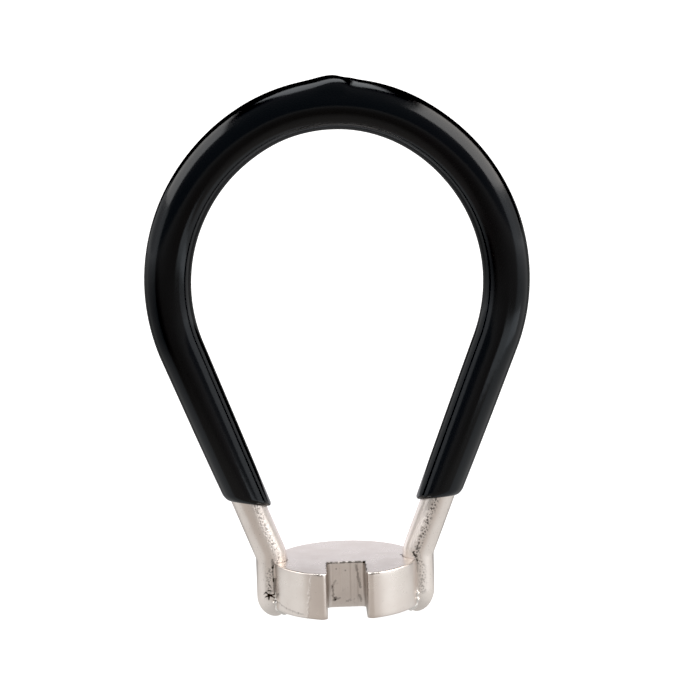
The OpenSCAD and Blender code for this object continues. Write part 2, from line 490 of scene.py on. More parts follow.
@dataclass(frozen=True, kw_only=True)
class WirePlate(NickelPlate):
    """The plating of the bare wire, with a band of specks down each leg, marks of the welding, and painted
    shade where the feet meet the disc.

    A crack or line of painted shade is X and Z on the front of a foot, its end's X and Z, radius and
    shade, with lengths in millimetres. The band's middle and half width are shares of the wire's radius.
    """

    plane_y: float
    foot_x: float
    wire_r: float
    bend_z: float
    leg_angle: float
    name: str = "wire_plate"
    roughness: float = 0.31
    grain_depth: float = 0.012 * MM
    pit_size: float = 0.15 * MM
    pit_edge: Span = (0.68, 0.74)
    pit_shade: float = 0.3
    speck_size: float = 0.25 * MM
    speck_edge: Span = (0.4, 0.56)
    speck_patch: Span = (0.24, 0.38)
    speck_low: Span = (0.9 * MM, 1.5 * MM)
    speck_shade: float = 0.78
    speck_height: float = -3.0
    speck_half_w: float = 0.36
    foot_speck: float = 0.2
    leg_speck: Span = (-0.42, -0.2)
    left_share: float = 0.6
    right_foot_share: float = 0.5
    line_taper: float = 0.4
    line_fray: float = 0.12 * MM
    line_core: float = 0.6
    # The star about X -8.4, Z 1.5 is the weld's cracks. The rows that run down the crevices beside the
    # disc, from Z above 3 mm, are painted shade.
    crack_and_shade_lines: Rows = (
        (-8.42, 1.53, -8.76, 1.84, 0.13, 1.0),
        (-8.74, 1.85, -9.0, 1.6, 0.11, 0.9),
        (-8.42, 1.53, -8.86, 1.29, 0.13, 1.0),
        (-8.42, 1.53, -8.47, 1.02, 0.14, 1.0),
        (-8.3, 1.51, -7.8, 1.65, 0.14, 1.0),
        (-8.2, 1.47, -7.83, 1.24, 0.12, 1.0),
        (-8.46, 1.55, -8.2, 1.47, 0.2, 1.0),
        (-7.95, 5.5, -7.92, 3.1, 0.16, 0.5),
        (-7.78, 3.3, -7.8, 1.7, 0.24, 0.6),
        (-8.42, 2.75, -8.3, 2.55, 0.1, 0.5),
        (-8.5, 2.05, -8.25, 2.05, 0.1, 0.5),
        (7.4, 5.75, 7.62, 5.35, 0.15, 0.8),
        (7.8, 5.2, 7.8, 3.6, 0.16, 0.25),
        (7.6, 0.9, 7.68, 0.76, 0.17, 0.9))
    # Spots of painted shade where the wires' inner sides meet the disc's top.
    strokes: tuple[Stroke, ...] = (
        Stroke(mm(6.25, 4.1, 5.2), radius=0.22 * MM),
        Stroke(mm(-6.35, 3.65, 5.25), radius=0.3 * MM, shade=0.3))

    def on_foot(self, x: float, z: float) -> Place:
        """Returns the place on the front of a foot at an X and a Z in millimetres."""
        aside = abs(x) * MM - self.foot_x
        return (x * MM, self.plane_y - math.sqrt(self.wire_r ** 2 - aside ** 2), z * MM)

    def all_strokes(self) -> list[Stroke]:
        """Returns the dark marks, and the feet's lines: a star of cracks on the left, and lines of painted
        shade in the crevices.
        """
        return super().all_strokes() + [
            Stroke(self.on_foot(x, z), self.on_foot(end_x, end_z), radius * MM, shade,
                   self.line_taper, self.line_fray, self.line_core)
            for x, z, end_x, end_z, radius, shade in self.crack_and_shade_lines]

    def marks(self, graph: ShaderGraph, place: Signal) -> Marks:
        """Adds specks in a band down each leg to the dark marks.

        Args:
            graph: The graph that holds it.
            place: The point's place.

        Returns:
            Dark, sunken specks, fainter on the left leg and the right foot, and none on the tips.
        """
        x, _, z = graph.parts(place)
        rise = graph.maths("MAXIMUM", z - self.bend_z, 0.0)
        aside = (abs(x) - self.foot_x - rise * math.tan(math.radians(self.leg_angle))) / self.wire_r
        sides = (x, -self.wire_r, self.wire_r)
        bend = (z, self.bend_z - self.wire_r, self.bend_z)
        middle = graph.ramp(*bend, self.foot_speck, graph.ramp(*sides, *self.leg_speck))
        band = graph.ramp(abs(aside - middle), 0.0, self.speck_half_w, 1.0, 0.0)
        band = band * graph.ramp(*sides, self.left_share, graph.ramp(*bend, self.right_foot_share, 1.0))
        patch = graph.ramp(graph.noise(place, 2 * self.speck_size, Detail.SIMPLE), *self.speck_patch)
        patch = patch * graph.ramp(z, *self.speck_low)
        specks = band * patch * graph.ramp(graph.dots(place, self.speck_size), *self.speck_edge, 1.0, 0.0)
        dark = super().marks(graph, place).dark + specks * self.speck_shade
        return Marks(dark=dark, height=specks * self.speck_height)


@dataclass(frozen=True)
class BlackVinyl:
    """Glossy dipped vinyl with a faint orange peel and sparse specks."""

    name: str = "black_vinyl"
    tone: Colour = (0.010, 0.010, 0.0108)
    worn: Colour = (0.012, 0.012, 0.0128)
    specular: float = 0.49
    sheen: Colour = (0.88, 0.94, 1.0)
    roughness: float = 0.12
    roughness_spread: float = 0.06
    cloud_size: float = 3 * MM
    peel_size: float = 1.1 * MM
    peel_depth: float = 0.006 * MM
    speck_size: float = 0.5 * MM
    speck_edge: Span = (0.82, 0.85)
    speck_rough: float = 0.15
    speck_height: float = 1.5

    def material(self) -> bpy.types.Material:
        """Mixes the vinyl from cloudy noise.

        Returns:
            A near black with uneven gloss, orange peel and specks.
        """
        made = bpy.data.materials.new(self.name)
        graph = ShaderGraph(made)
        place = graph.place()
        cloud = graph.noise(place, self.cloud_size, Detail.RAGGED)
        peel = graph.noise(place, self.peel_size, Detail.SIMPLE)
        speck = graph.ramp(graph.noise(place, self.speck_size, Detail.SIMPLE), *self.speck_edge)
        rough = self.roughness + cloud * self.roughness_spread + speck * self.speck_rough
        graph.surface(graph.node("ShaderNodeBsdfPrincipled", inputs={
            "Base Color": graph.blend(cloud, rgba(self.tone), rgba(self.worn)),
            "Roughness": rough,
            "Specular IOR Level": self.specular,
            "Specular Tint": rgba(self.sheen),
            "Normal": graph.bump(peel + speck * self.speck_height, self.peel_depth),
        }))
        return made


@dataclass(frozen=True)
class FloorPaint:
    """A pale, glossy sheet: even white to the eye, and for reflections a painted glow, uneven and with
    painted shade under the part.
    """

    name: str = "pale_floor"
    albedo: float = 0.5
    glow: float = 0.95
    gloss_roughness: float = 0.12
    gloss_ior: float = 1.09
    front_tone: Colour = (0.575, 0.53, 0.49)
    side_tone: Colour = (0.8, 0.795, 0.78)
    back_tone: Colour = (0.26, 0.26, 0.26)
    middle_y: float = -0.7 * MM
    front_turn: float = -6.5
    front_edge: Span = (0.42, 0.50)
    back_edge: Span = (0.45, 0.65)
    back_r: Span = (18 * MM, 36 * MM)
    straight_edge: Span = (0.75, 0.9)
    straight_lead: float = 14 * MM
    near_r: float = 34 * MM
    far_r: float = 85 * MM
    far_side: Span = (-0.95, -0.6)
    far_share: Span = (0.44, 0.7)
    shade_share: float = 0.8
    shade_r: Span = (8.5 * MM, 11.5 * MM)

    def mirrored_tone(self, graph: ShaderGraph, floor_z: float, axis_y: float) -> Signal:
        """Works out the painted glow that reflections see, which changes with the way from the part.

        It is warm in front, in a wedge turned a little to the left, paler at the sides and dark far behind,
        where the dark comes nearest straight behind the part. It fades with the distance, more on the left,
        and under the part a painted shade darkens it.

        Args:
            graph: The graph that holds it.
            floor_z: The floor's height.
            axis_y: Where the part's middle stands along Y.

        Returns:
            The glow's colour.
        """
        place = graph.place()
        x, y, _ = graph.parts(place)
        turn = math.radians(self.front_turn)
        away = graph.distance(place, (0.0, self.middle_y, floor_z))
        ahead = (x * math.sin(turn) + (self.middle_y - y) * math.cos(turn)) / away
        front = graph.ramp(ahead, *self.front_edge)
        behind = (y - self.middle_y) / away
        lead = graph.ramp(behind, *self.straight_edge, 0.0, self.straight_lead)
        back = graph.ramp(behind, *self.back_edge) * graph.ramp(away + lead, *self.back_r)
        tone = graph.blend(front, rgba(self.side_tone), rgba(self.front_tone))
        tone = graph.blend(back, tone, rgba(self.back_tone))
        far = graph.ramp(x / away, *self.far_side, *self.far_share)
        fade = graph.ramp(away, self.near_r, self.far_r, 1.0, far)
        # Painted shade: the glow that reflections see is darker under the part.
        off_axis = graph.distance(place, (0.0, axis_y, floor_z))
        shade = graph.ramp(off_axis, *self.shade_r, self.shade_share, 1.0)
        return graph.blend(fade * shade, rgba(BLACK), tone)

    def material(self, floor_z: float, axis_y: float) -> bpy.types.Material:
        """Makes the floor's paint.

        Args:
            floor_z: The floor's height.
            axis_y: Where the part's middle stands along Y.

        Returns:
            A matt white that glows a little for the camera, and for reflections a dim gloss over a painted
            glow.
        """
        made = bpy.data.materials.new(self.name)
        made.cycles.emission_sampling = "NONE"
        graph = ShaderGraph(made)
        paint = graph.node("ShaderNodeBsdfDiffuse", inputs={"Color": rgba((self.albedo,) * 3)})
        glow = graph.node("ShaderNodeEmission", inputs={"Strength": self.glow})
        seen = graph.node("ShaderNodeAddShader", inputs={0: paint, 1: glow})
        mirrored = graph.node("ShaderNodeBsdfPrincipled", inputs={
            "Base Color": rgba(BLACK),
            "Roughness": self.gloss_roughness,
            "IOR": self.gloss_ior,
            "Emission Color": self.mirrored_tone(graph, floor_z, axis_y),
            "Emission Strength": 1.0,
        })
        eye = graph.node("ShaderNodeLightPath", output="Is Camera Ray")
        graph.surface(graph.node("ShaderNodeMixShader", inputs={0: eye, 1: mirrored, 2: seen}))
        return made


# Meshes


def grid_quads(rows: int, columns: int, wrap_rows: bool = False) -> np.ndarray:
    """Numbers the quads of a grid of points whose columns close into rings.

    Args:
        rows: Rings of points.
        columns: Points in each ring.
        wrap_rows: Whether the last ring joins the first.

    Returns:
        Four point numbers for each quad, where point (i, j) is number i * columns + j.
    """
    row = np.arange(rows if wrap_rows else rows - 1)[:, None] * columns
    over = np.roll(np.arange(rows) * columns, -1)[: len(row), None]
    column = np.arange(columns)[None, :]
    beside = np.roll(column, -1, axis=1)
    quads = np.stack([row + column, row + beside, over + beside, over + column], axis=-1)
    return quads.reshape(-1, 4)


@dataclass(frozen=True)
class Skin:
    """A closed surface: points in the part's frame, and quads and triangles as point numbers."""

    points: np.ndarray
    quads: np.ndarray
    triangles: np.ndarray = field(default_factory=lambda: np.empty((0, 3), int))

    @classmethod
    def capped(cls, rings: np.ndarray) -> "Skin":
        """Joins rings, with one point added in the middle of the first and the last ring.

        Args:
            rings: Points as rings by sides by three.

        Returns:
            The rings' closed skin.
        """
        count, sides, _ = rings.shape
        points = np.concatenate([rings.reshape(-1, 3), [rings[0].mean(0)], [rings[-1].mean(0)]])
        here = np.arange(sides)
        there = np.roll(here, -1)
        first, last = count * sides, count * sides + 1
        end = (count - 1) * sides
        caps = np.concatenate([
            np.stack([np.full(sides, first), there, here], axis=1),
            np.stack([np.full(sides, last), end + here, end + there], axis=1)])
        return cls(points, grid_quads(count, sides), caps)

    def volume(self) -> float:
        """Sums the tetrahedra between the origin and each triangle, with every quad cut in two.

        Returns:
            The volume inside, which is negative where the faces point inwards.
        """
        corners = np.concatenate([self.quads[:, :3], self.quads[:, [0, 2, 3]], self.triangles])
        a, b, c = (self.points[corners[:, i]] for i in range(3))
        return float(np.einsum("ij,ij->i", a, np.cross(b, c)).sum() / 6)

    def outward(self) -> "Skin":
        """Returns the skin with its faces turned outwards."""
        turn = -1 if self.volume() < 0 else 1
        return Skin(self.points, self.quads[:, ::turn], self.triangles[:, ::turn])


def put(name: str, data: bpy.types.ID) -> bpy.types.Object:
    """Adds an object to the scene.

    Args:
        name: The object's name.
        data: The mesh, light or camera that it shows.

    Returns:
        The new object, which sits at the origin.
    """
    made = bpy.data.objects.new(name, data)
    bpy.context.scene.collection.objects.link(made)
    return made


def add_piece(name: str, skin: Skin, finish: bpy.types.Material, node: str,
              flat_caps: bool = False) -> bpy.types.Object:
    """Puts a closed skin into the scene in place of a solid of the frame.

    Args:
        name: The new piece's name.
        skin: Its surface.
        finish: Its material.
        node: The solid that it stands for.
        flat_caps: Whether the skin's triangles shade flat.

    Returns:
        The piece's object.
    """
    skin = skin.outward()
    mesh = bpy.data.meshes.new(name)
    mesh.from_pydata(skin.points.tolist(), [], skin.quads.tolist() + skin.triangles.tolist())
    smooth = np.repeat([True, not flat_caps], [len(skin.quads), len(skin.triangles)])
    mesh.polygons.foreach_set("use_smooth", smooth)
    mesh.materials.append(finish)
    mesh.update()
    piece = put(name, mesh)
    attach(piece, BODY)
    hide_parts(node)
    log.info("%s: %d points, %d faces", name, len(skin.points), len(smooth))
    return piece


def even_angles(count: int) -> np.ndarray:
    """Returns angles in radians, evenly spaced over a full turn."""
    return np.linspace(0, FULL_TURN, count, endpoint=False)


def sweep(middle: np.ndarray, radius: np.ndarray, across: np.ndarray, front: np.ndarray) -> np.ndarray:
    """Draws a ring about each middle: one direction times the cosine, plus the other times the sine.

    Args:
        middle: The rings' middles, as rows of three.
        radius: The radius at each side of each ring.
        across: Each ring's direction to its first side.
        front: Each ring's direction a quarter turn on.

    Returns:
        Points as rings by sides by three.
    """
    angle = even_angles(radius.shape[1])[None, :, None]
    spread = np.cos(angle) * across[:, None, :] + np.sin(angle) * front[:, None, :]
    return middle[:, None, :] + radius[:, :, None] * spread


def unit(rows: np.ndarray) -> np.ndarray:
    """Returns rows of three, each scaled to a length of one."""
    return rows / np.linalg.norm(rows, axis=1)[:, None]


def waves(place: np.ndarray, lengths: tuple[float, ...], phase: float = 0.0) -> np.ndarray:
    """Returns a mean of sine waves of the given lengths, each shifted by the golden angle from the last."""
    shifts = phase + GOLDEN_ANGLE * np.arange(len(lengths))
    return np.mean([np.sin(FULL_TURN * place / length + shift)
                    for length, shift in zip(lengths, shifts)], axis=0)


def smooth_step(value: np.ndarray, low: float, high: float) -> np.ndarray:
    """Returns 0 below low, 1 above high and a smooth rise between them."""
    share = np.clip((value - low) / (high - low), 0, 1)
    return share * share * (3 - 2 * share)


# The part


@dataclass
class LoopLine:
    """Middle line and radius of the handle wire, from its tips up to the top of the crown."""

    plane_y: float
    disc_top: float
    tip_z: float
    wire_r: float = 1.7 * MM
    foot_x: float = 8.0 * MM
    bend_rise: float = 0.55 * MM
    bend_r: float = 2.6 * MM
    leg_angle: float = 21.3
    side_r: float = 19.8 * MM
    crown_r: float = 16.8 * MM
    crown_half_angle: float = 30.0

    def __post_init__(self) -> None:
        """Works out each stretch's length, heading and start, from the tip to the top of the crown."""
        lean = math.radians(self.leg_angle)
        half = math.radians(self.crown_half_angle)
        bend_run = self.bend_r * math.tan(lean / 2)
        self.bend_z = self.disc_top + self.bend_rise
        side_x = -(self.side_r - self.crown_r) * math.sin(half)
        leg_len = (side_x + self.side_r * math.cos(lean) - self.foot_x) / math.sin(lean)
        arc_end = half - QUARTER_TURN
        lengths = np.array([
            self.bend_z - bend_run - self.tip_z,
            self.bend_r * lean,
            leg_len - bend_run,
            self.side_r * (lean - arc_end),
            self.crown_r * half])
        self.headings = np.array([0.0, 0.0, lean, lean, arc_end, -QUARTER_TURN])
        self.starts = np.concatenate([[0.0], np.cumsum(lengths)])
        self.curves = np.diff(self.headings) / lengths
        chords = self.chord(np.arange(len(lengths)), lengths)
        self.corners = np.concatenate([[[self.foot_x, self.tip_z]], chords]).cumsum(axis=0)
        self.half_len = float(self.starts[-1])
        self.leg_foot = float(self.starts[2] - bend_run)

    def chord(self, stretch: np.ndarray, run: np.ndarray) -> np.ndarray:
        """Finds the straight way from a stretch's start: an arc's chord has the arc's mean heading.

        Args:
            stretch: Numbers of the stretches, from the tip.
            run: Distances along them.

        Returns:
            Rows of X and Z.
        """
        half_turn = self.curves[stretch] * run / 2
        middle = self.headings[stretch] + half_turn
        length = run * np.sinc(half_turn / math.pi)
        return length[..., None] * np.stack([np.sin(middle), np.cos(middle)], axis=-1)

    def at(self, way: np.ndarray) -> tuple[np.ndarray, np.ndarray, np.ndarray]:
        """Finds points of the line.

        Args:
            way: Distances along the wire from the top of the crown, positive to the right.

        Returns:
            The points, the outward directions across the wire and the directions along it, towards the
            tip, each as an array of rows of three.
        """
        side = np.where(way < 0, -1.0, 1.0)
        climb = np.clip(self.half_len - np.abs(way), 0, self.half_len)
        last = len(self.curves) - 1
        stretch = np.clip(np.searchsorted(self.starts, climb, side="right") - 1, 0, last)
        run = climb - self.starts[stretch]
        place = self.corners[stretch] + self.chord(stretch, run)
        heading = self.headings[stretch] + self.curves[stretch] * run
        level = np.zeros_like(heading)
        points = np.stack([side * place[:, 0], level + self.plane_y, place[:, 1]], axis=-1)
        out = np.stack([side * np.cos(heading), level, -np.sin(heading)], axis=-1)
        down = np.stack([-side * np.sin(heading), level, -np.cos(heading)], axis=-1)
        return points, out, down


@dataclass
class HandleWire:
    """The bent steel wire, whose bare legs and feet show below the vinyl."""

    line: LoopLine
    dome_len: Span = (2.3 * MM, 2.7 * MM)
    dome_start: float = 0.02
    dome_rings: int = 24
    tip_shift: float = 0.35 * MM
    sides: int = 72
    bare_len: float = 15 * MM
    bare_step: float = 0.07 * MM
    hidden_step: float = 1.5 * MM
    crater_climb: float = 2.68 * MM
    crater_angle: float = 76.0
    crater_r: float = 0.3 * MM
    crater_depth: float = 0.04 * MM
    crater_points: int = 5
    crater_star: float = 0.35

    def ring_ways(self) -> np.ndarray:
        """Spaces the rings: close together where the wire is bare, and closest at the tips.

        Returns:
            The rings' distances from the top of the crown, positive to the right.
        """
        half = self.line.half_len
        dome_len = max(self.dome_len)
        dome = dome_len * (1 - np.cos(np.linspace(self.dome_start, 1, self.dome_rings) * QUARTER_TURN))
        bare = np.arange(dome_len, self.bare_len, self.bare_step)[1:]
        inner = np.arange(self.bare_len, half, self.hidden_step)
        climb = np.concatenate([dome, bare, inner])
        return np.concatenate([climb - half, (half - climb)[::-1]])

    def crater(self, way: np.ndarray, angle: np.ndarray) -> np.ndarray:
        """Shapes the weld's crater on the left foot: a bell shape with star-like edges.

        Args:
            way: The rings' distances from the top of the crown.
            angle: The sides' angles, in radians.

        Returns:
            Its depth at each side of each ring.
        """
        climb = np.where(way < 0, self.line.half_len - np.abs(way), np.inf)
        along = (climb - self.crater_climb)[:, None]
        aside = self.line.wire_r * (angle - math.radians(self.crater_angle))[None, :]
        star = np.cos(self.crater_points * np.arctan2(along, aside))
        reach = self.crater_r * (1 + self.crater_star * star)
        return self.crater_depth * np.exp(-(along ** 2 + aside ** 2) / reach ** 2)

    def finish(self) -> WirePlate:
        """Returns the plating, fitted to the wire's feet and legs."""
        line = self.line
        return WirePlate(plane_y=line.plane_y, foot_x=line.foot_x, wire_r=line.wire_r,
                         bend_z=line.bend_z, leg_angle=line.leg_angle)

    def build(self) -> bpy.types.Object:
        """Sweeps a circle along the loop's line and rounds its tips.

        A ring's radius follows a half ellipse over the tip's dome, and its middle moves towards the disc
        as it shrinks. A small crater is left where the left weld began.

        Returns:
            The new piece.
        """
        way = self.ring_ways()
        points, out, _ = self.line.at(way)
        climb = self.line.half_len - np.abs(way)
        dome_len = np.where(way < 0, *self.dome_len)
        dome = np.sqrt(np.clip(1 - np.clip(1 - climb / dome_len, 0, 1) ** 2, 0, 1))
        middle = points - out * (self.tip_shift * (1 - dome))[:, None]
        radius = self.line.wire_r * dome[:, None] - self.crater(way, even_angles(self.sides))
        skin = Skin.capped(sweep(middle, radius, out, FRONT))
        return add_piece("plated_wire", skin, self.finish().material(), "handle_wire")


@dataclass
class VinylGrip:
    """The dipped vinyl, thicker towards the crown, with a drip nub on top and rounded lower lips."""

    line: LoopLine
    bare_len: float = 6.3 * MM
    end_t: float = 0.54 * MM
    crown_t: float = 1.1 * MM
    build_power: float = 0.7
    outer_lip: float = 1.0 * MM
    inner_lip: float = 0.5 * MM
    edge_share: float = 0.25
    left_slope: float = 9.5
    right_slope: float = 5.0
    front_slope: float = 11.0
    settle_len: float = 6.0 * MM
    drip_h: float = 0.34 * MM
    drip_half_len: Span = (1.6 * MM, 1.15 * MM)
    drip_flank: Span = (0.42, 0.94)
    drip_turn: Span = (8.0, 26.0)
    drip_front_len: float = 1.55 * MM
    drip_front_power: float = 4.0
    shoulder_way: float = 1.75 * MM
    shoulder_h: float = 0.07 * MM
    shoulder_half_len: float = 0.5 * MM
    ripple: float = 0.03 * MM
    swell_lens: tuple[float, ...] = (9 * MM, 14 * MM, 23 * MM)
    swell_turns: tuple[float, ...] = (FULL_TURN / 3, FULL_TURN / 2)
    bore_play: float = -0.02 * MM
    sides: int = 112
    rings: int = 620
    lip_rings: int = 24
    bore_rings: int = 120
    finish: BlackVinyl = field(default_factory=BlackVinyl)

    def __post_init__(self) -> None:
        """Works out where the vinyl ends along the wire."""
        self.right_end = self.line.half_len - self.line.leg_foot - self.bare_len
        self.left_end = -self.right_end

    def from_end(self, way: np.ndarray) -> np.ndarray:
        """Returns the distances along the wire from the nearer lower end."""
        return np.minimum(way - self.left_end, self.right_end - way)

    def ring_points(self, way: np.ndarray, radius: np.ndarray) -> np.ndarray:
        """Places rings along the wire; those near the lower ends lean, lower inside and behind.

        Args:
            way: The rings' distances from the top of the crown.
            radius: The radius at each side of each ring.

        Returns:
            Points as rings by sides by three.
        """
        points, out, down = self.line.at(way)
        slope = np.where(way < 0, self.left_slope, self.right_slope)[:, None]
        lean = np.tan(np.radians(self.line.leg_angle + slope))
        rise = math.tan(math.radians(self.front_slope))
        near_end = np.clip(1 - self.from_end(way) / self.settle_len, 0, 1)[:, None]
        return sweep(points, radius, out - lean * near_end * down, FRONT - rise * near_end * down)

    def thickness(self, way: np.ndarray, angle: np.ndarray) -> np.ndarray:
        """Shapes the vinyl's outside.

        Its thickness grows by a power of the distance from the lower end. A quarter round thins it at the
        lip, which is longer on the outside. The drip nub is added, and long waves take a little off.

        Args:
            way: The rings' distances from the top of the crown.
            angle: The sides' angles, in radians.

        Returns:
            The thickness over the wire at each side of each ring.
        """
        from_end = self.from_end(way)[:, None]
        inside = (1 - np.cos(angle)[None, :]) / 2
        lip_len = self.outer_lip + (self.inner_lip - self.outer_lip) * inside
        fall = np.clip(1 - from_end / lip_len, 0, 1)
        lip = self.edge_share + (1 - self.edge_share) * np.sqrt(1 - fall ** 2)
        share = np.clip(from_end / self.right_end, 0, 1) ** self.build_power
        body = self.end_t + (self.crown_t - self.end_t) * share
        swell = waves(way, self.swell_lens)[:, None] + waves(angle, self.swell_turns)
        return lip * body + self.drip(way, angle) - self.ripple * (1 + swell / 2) * share

    def drip(self, way: np.ndarray, angle: np.ndarray) -> np.ndarray:
        """Shapes the drip nub on the crest, and the shoulder on its right.

        The nub is a bell shape. Towards the front its right flank lies farther out and grows steeper, as
        the bell's reach and power change there, and the shoulder fades.

        Args:
            way: The rings' distances from the top of the crown.
            angle: The sides' angles, in radians.

        Returns:
            Their height at each side of each ring.
        """
        up = smooth_step(np.cos(angle), *self.drip_flank)[None, :]
        front = smooth_step(np.sin(angle), *np.sin(np.radians(self.drip_turn)))[None, :]
        right = (way > 0)[:, None]
        left_len, right_len = self.drip_half_len
        reach = np.where(right, right_len + (self.drip_front_len - right_len) * front, left_len)
        power = np.where(right, BELL_POWER + (self.drip_front_power - BELL_POWER) * front, BELL_POWER)
        nub = self.drip_h * np.exp(-(np.abs(way)[:, None] / reach) ** power)
        shoulder = self.shoulder_h * np.exp(-((way - self.shoulder_way) / self.shoulder_half_len) ** 2)
        return (nub + shoulder[:, None] * (1 - front)) * up

    def build(self) -> bpy.types.Object:
        """Joins the outside's rings and the bore's rings into one closed sleeve.

        Returns:
            The new piece.
        """
        lip = self.outer_lip * (1 - np.cos(np.linspace(0, 1, self.lip_rings) * QUARTER_TURN))
        body = np.linspace(self.left_end + self.outer_lip, self.right_end - self.outer_lip, self.rings)
        way = np.concatenate([self.left_end + lip, body[1:-1], (self.right_end - lip)[::-1]])
        back = np.linspace(self.right_end, self.left_end, self.bore_rings)
        bore_r = np.full((self.bore_rings, self.sides), self.line.wire_r + self.bore_play)
        outer_r = self.line.wire_r + self.thickness(way, even_angles(self.sides))
        rings = np.concatenate([self.ring_points(way, outer_r), self.ring_points(back, bore_r)])
        skin = Skin(rings.reshape(-1, 3), grid_quads(len(rings), self.sides, wrap_rows=True))
        return add_piece("vinyl_grip", skin, self.finish.material(), "grip_coat")


@dataclass
class JawDisc:
    """The thick slotted disc that turns the nipple, with a half-round seat in each side."""

    axis_y: float
    top_z: float
    slot_back_y: float
    foot_x: float
    jaw_r: float = 7.895 * MM
    slot_half_w: float = 2.08 * MM
    corner_r: float = 0.5 * MM
    mouth_r: float = 0.61 * MM
    flare: float = 0.1 * MM
    flare_reach: float = 3.4 * MM
    flare_depth: float = 3.0 * MM
    seat_r: float = 1.715 * MM
    seat_lip_r: float = 0.22 * MM
    rim_edge: float = 0.18 * MM
    slot_edge: float = 0.09 * MM
    slot_fade: Span = (0.05 * MM, 0.3 * MM)
    burr: float = 0.05 * MM
    burr_reach: float = 0.3 * MM
    burr_lens: tuple[float, ...] = (0.31 * MM, 0.53 * MM, 0.97 * MM)
    wall_wave: float = 0.018 * MM
    wall_lens: tuple[float, ...] = (0.4 * MM, 0.7 * MM, 1.3 * MM)
    step: float = 0.06 * MM
    least_arc: int = 6
    least_line: int = 3
    cap_step: float = 0.6 * MM
    cap_margin: float = 0.3 * MM
    edge_rings: int = 7
    wall_rings: int = 14

    def arc(self, centre: np.ndarray, radius: float, start: float, end: float) -> np.ndarray:
        """Traces an arc of the outline.

        Args:
            centre: The arc's centre in the disc's plane.
            radius: Its radius.
            start: Angle where it starts, in radians.
            end: Angle where it ends. Where that is less than the start, the metal lies outside the arc.

        Returns:
            Rows of X, Y and the outward direction's X and Y.
        """
        count = max(self.least_arc, int(abs(end - start) * radius / self.step))
        angle = np.linspace(start, end, count)
        way = np.stack([np.cos(angle), np.sin(angle)], axis=-1)
        return np.concatenate([centre + radius * way, way * np.sign(end - start)], axis=1)

    def line(self, start: np.ndarray, end: np.ndarray) -> np.ndarray:
        """Traces the inner points of a straight stretch, with the metal on the left of the way.

        Args:
            start: Where the stretch starts in the disc's plane.
            end: Where it ends.

        Returns:
            Rows of X, Y and the outward direction's X and Y.
        """
        way = end - start
        length = float(np.hypot(*way))
        count = max(self.least_line, int(length / self.step))
        share = np.linspace(0, 1, count)[1:-1, None]
        out = np.array([way[1], -way[0]]) / length
        return np.concatenate([start + share * way, np.broadcast_to(out, (len(share), 2))], axis=1)

    def right_outline(self) -> np.ndarray:
        """Traces the outline's right half, from the slot's back wall round the rim to the back.

        Returns:
            Rows of X, Y and the outward direction's X and Y.
        """
        axis = np.array([0.0, self.axis_y])
        corner = np.array([self.slot_half_w, self.slot_back_y]) - self.corner_r
        mouth_x = self.slot_half_w + self.mouth_r
        mouth_y = self.axis_y - math.sqrt((self.jaw_r - self.mouth_r) ** 2 - mouth_x ** 2)
        mouth = np.array([mouth_x, mouth_y])
        foot = np.array([self.foot_x, self.axis_y])
        lip_ring = self.jaw_r - self.seat_lip_r
        seat_ring = self.seat_r + self.seat_lip_r
        lip_x = (self.foot_x ** 2 + lip_ring ** 2 - seat_ring ** 2) / (2 * self.foot_x)
        lip_y = math.sqrt(lip_ring ** 2 - lip_x ** 2)
        rim_angle = math.atan2(lip_y, lip_x)
        seat_angle = math.atan2(lip_y, lip_x - self.foot_x)
        front_lip = axis + (lip_x, -lip_y)
        rear_lip = axis + (lip_x, lip_y)
        mouth_angle = math.atan2(mouth_y - self.axis_y, mouth_x)
        back_start = np.array([0.0, self.slot_back_y])
        return np.concatenate([
            self.line(back_start, np.array([corner[0], self.slot_back_y])),
            self.arc(corner, self.corner_r, QUARTER_TURN, 0.0),
            self.line(np.array([self.slot_half_w, corner[1]]), np.array([self.slot_half_w, mouth_y])),
            self.arc(mouth, self.mouth_r, -math.pi, mouth_angle),
            self.arc(axis, self.jaw_r, mouth_angle, -rim_angle)[1:],
            self.arc(front_lip, self.seat_lip_r, -rim_angle, math.pi - seat_angle)[1:],
            self.arc(foot, self.seat_r, FULL_TURN - seat_angle, seat_angle)[1:],
            self.arc(rear_lip, self.seat_lip_r, seat_angle - math.pi, rim_angle)[1:],
            self.arc(axis, self.jaw_r, rim_angle, QUARTER_TURN)[1:-1]])

    def outline(self) -> np.ndarray:
        """Joins the right half, the rear point, the left half and the slot's middle.

        The left jaw is worn back at the slot's mouth: a smooth share of the flare moves its points.

        Returns:
            Rows of X, Y and the outward direction's X and Y.
        """
        right = self.right_outline()
        left = right[::-1] * np.array([-1.0, 1.0, -1.0, 1.0])
        near = smooth_step(self.flare_reach + left[:, 0], 0, self.flare_reach - self.slot_half_w)
        left[:, 0] -= self.flare * near * smooth_step(self.slot_back_y - left[:, 1], 0, self.flare_depth)
        rear = np.array([[0.0, self.axis_y + self.jaw_r, 0.0, 1.0]])
        back = np.array([[0.0, self.slot_back_y, 0.0, -1.0]])
        return np.concatenate([right, rear, left, back])

